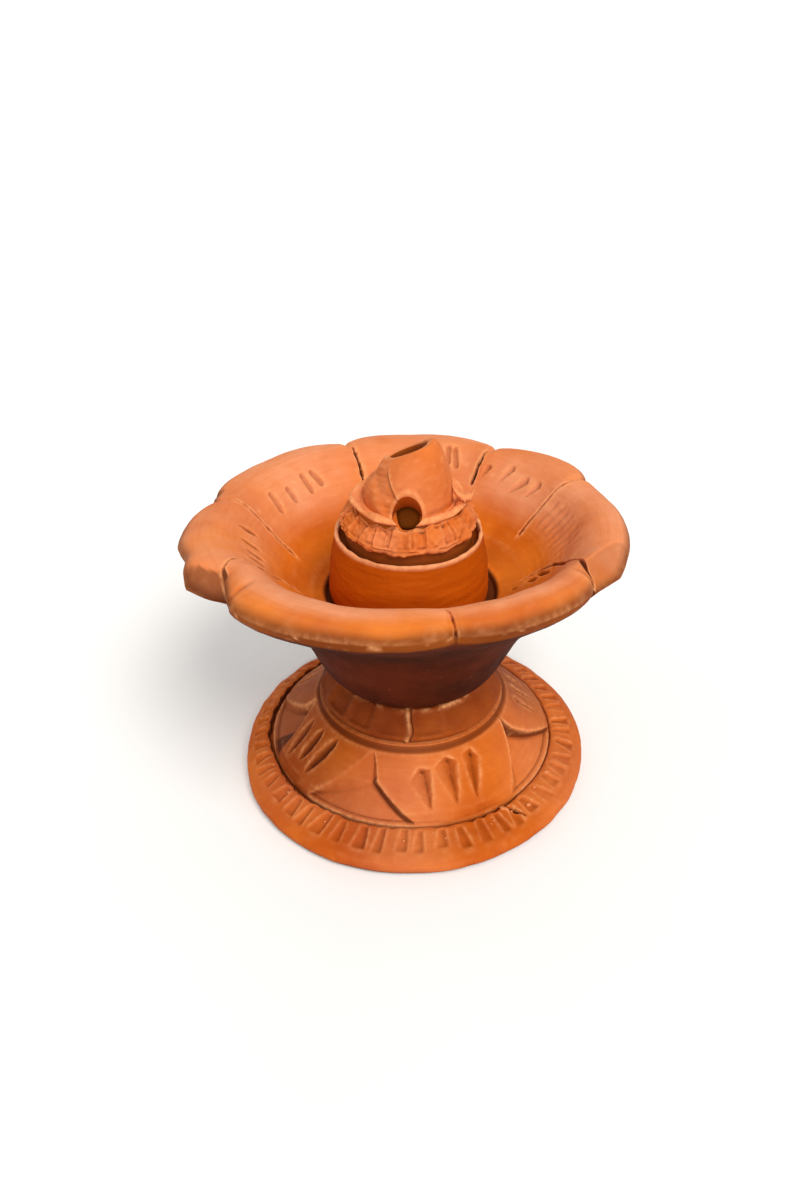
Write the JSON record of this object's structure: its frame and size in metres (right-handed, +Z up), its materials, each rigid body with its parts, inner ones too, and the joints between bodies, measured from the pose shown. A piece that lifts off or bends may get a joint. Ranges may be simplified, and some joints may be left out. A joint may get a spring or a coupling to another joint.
{
  "type": "diya oil lamp",
  "caption": "Unglazed terracotta pedestal oil lamp: carved lotus foot, petal-edged bowl and a loose oil pot with a domed, frilled lid, a wick hole and a filler neck.",
  "frame": {"origin": "on the lamp's upright axis, in the plane that it stands on", "axes": "+Z is up along the axis of the foot, stem, pot and neck; the front, where the wick hole opens, faces -Y; +X is to the right seen from the front"},
  "size_m": [0.1102, 0.1078, 0.0936],
  "materials": {
    "clay_foot": "matt unglazed fired clay",
    "clay_coil": "matt unglazed fired clay",
    "clay_bowl": "matt unglazed fired clay",
    "clay_pot": "matt unglazed fired clay",
    "clay_lid": "matt unglazed fired clay",
    "clay_slip": "matt unglazed fired clay"
  },
  "bodies": {
    "stand": {"foot_disc": "clay_foot", "lotus_mound": "clay_foot", "stem_coil": "clay_coil", "petal_bowl": "clay_bowl"},
    "pot": {"oil_pot": "clay_pot"},
    "lid": {"lid_dome": "clay_lid", "frill_strip": "clay_lid", "slip_bead": "clay_slip"}
  },
  "joints": [
    {"name": "pot_lift", "type": "slide", "parent": "stand", "child": "pot", "axis": [0, 0, 1], "range_m": [0, 0.05]},
    {"name": "lid_lift", "type": "slide", "parent": "pot", "child": "lid", "axis": [0, 0, 1], "range_m": [0, 0.03]}
  ]
}
